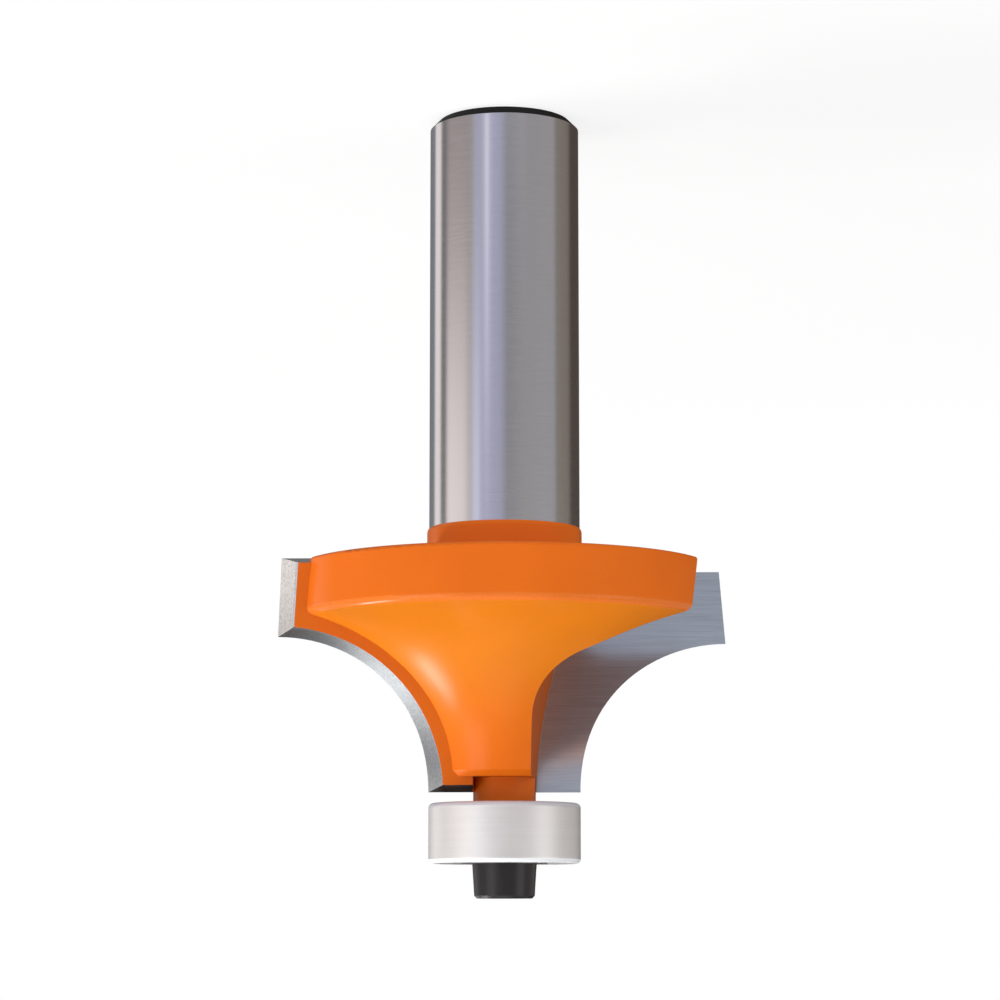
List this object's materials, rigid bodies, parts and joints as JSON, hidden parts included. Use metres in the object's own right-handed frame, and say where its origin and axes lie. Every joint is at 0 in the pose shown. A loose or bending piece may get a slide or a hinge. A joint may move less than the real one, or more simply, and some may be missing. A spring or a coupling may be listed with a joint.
{
  "type": "router bit",
  "caption": "Round-over router bit: cylindrical shank, coated body with sheared carbide-tipped teeth and deep gullets, and a shielded ball-bearing guide held by a screw.",
  "frame": {"origin": "centre of the shank's flat end face, which the bit stands on", "axes": "+Z along the axis from the shank to the guide bearing; one tooth points along -X and the other along +X at the cutting end"},
  "size_m": [0.0376, 0.0348, 0.0661],
  "materials": {
    "cutter_body": "orange coating over steel, left bare on the ground shank and on the ground reliefs",
    "carbide": "ground tungsten carbide",
    "bearing_steel": "ground bearing steel",
    "ball_steel": "polished bearing steel",
    "cage_steel": "pressed steel strip",
    "shield_steel": "pressed steel sheet",
    "spring_steel": "spring steel wire",
    "screw_steel": "black oxide on steel"
  },
  "bodies": {
    "cutter": {"cutter_body": "cutter_body", "carbide_tip_1": "carbide", "carbide_tip_2": "carbide", "bearing_inner_ring": "bearing_steel", "retaining_screw": "screw_steel"},
    "outer_ring": {"bearing_outer_ring": "bearing_steel", "bearing_shield_lower": "shield_steel", "bearing_shield_upper": "shield_steel", "shield_snap_ring_lower": "spring_steel", "shield_snap_ring_upper": "spring_steel"},
    "cage": {"ball_cage_lower": "cage_steel", "ball_cage_upper": "cage_steel"},
    "ball_1": {"bearing_ball_1": "ball_steel"},
    "ball_2": {"bearing_ball_2": "ball_steel"},
    "ball_3": {"bearing_ball_3": "ball_steel"},
    "ball_4": {"bearing_ball_4": "ball_steel"},
    "ball_5": {"bearing_ball_5": "ball_steel"},
    "ball_6": {"bearing_ball_6": "ball_steel"},
    "ball_7": {"bearing_ball_7": "ball_steel"}
  },
  "joints": [
    {"name": "outer_ring_spin", "type": "hinge", "parent": "cutter", "child": "outer_ring", "pos_m": [0, 0, 0.06074], "axis": [0, 0, 1], "continuous": true},
    {"name": "cage_spin", "type": "hinge", "parent": "cutter", "child": "cage", "pos_m": [0, 0, 0.06074], "axis": [0, 0, 1], "continuous": true},
    {"name": "ball_1_spin", "type": "hinge", "parent": "cage", "child": "ball_1", "pos_m": [0.00436, 0, 0.06074], "axis": [0, 0, 1], "continuous": true},
    {"name": "ball_2_spin", "type": "hinge", "parent": "cage", "child": "ball_2", "pos_m": [0.00272, 0.00341, 0.06074], "axis": [0, 0, 1], "continuous": true},
    {"name": "ball_3_spin", "type": "hinge", "parent": "cage", "child": "ball_3", "pos_m": [-0.00097, 0.00426, 0.06074], "axis": [0, 0, 1], "continuous": true},
    {"name": "ball_4_spin", "type": "hinge", "parent": "cage", "child": "ball_4", "pos_m": [-0.00393, 0.00189, 0.06074], "axis": [0, 0, 1], "continuous": true},
    {"name": "ball_5_spin", "type": "hinge", "parent": "cage", "child": "ball_5", "pos_m": [-0.00393, -0.00189, 0.06074], "axis": [0, 0, 1], "continuous": true},
    {"name": "ball_6_spin", "type": "hinge", "parent": "cage", "child": "ball_6", "pos_m": [-0.00097, -0.00426, 0.06074], "axis": [0, 0, 1], "continuous": true},
    {"name": "ball_7_spin", "type": "hinge", "parent": "cage", "child": "ball_7", "pos_m": [0.00272, -0.00341, 0.06074], "axis": [0, 0, 1], "continuous": true}
  ],
  "couplings": [
    {"joint": "cage_spin", "follows": "outer_ring_spin", "ratio": 0.63631},
    {"joint": "ball_1_spin", "follows": "outer_ring_spin", "ratio": 1.6977},
    {"joint": "ball_2_spin", "follows": "outer_ring_spin", "ratio": 1.6977},
    {"joint": "ball_3_spin", "follows": "outer_ring_spin", "ratio": 1.6977},
    {"joint": "ball_4_spin", "follows": "outer_ring_spin", "ratio": 1.6977},
    {"joint": "ball_5_spin", "follows": "outer_ring_spin", "ratio": 1.6977},
    {"joint": "ball_6_spin", "follows": "outer_ring_spin", "ratio": 1.6977},
    {"joint": "ball_7_spin", "follows": "outer_ring_spin", "ratio": 1.6977}
  ]
}
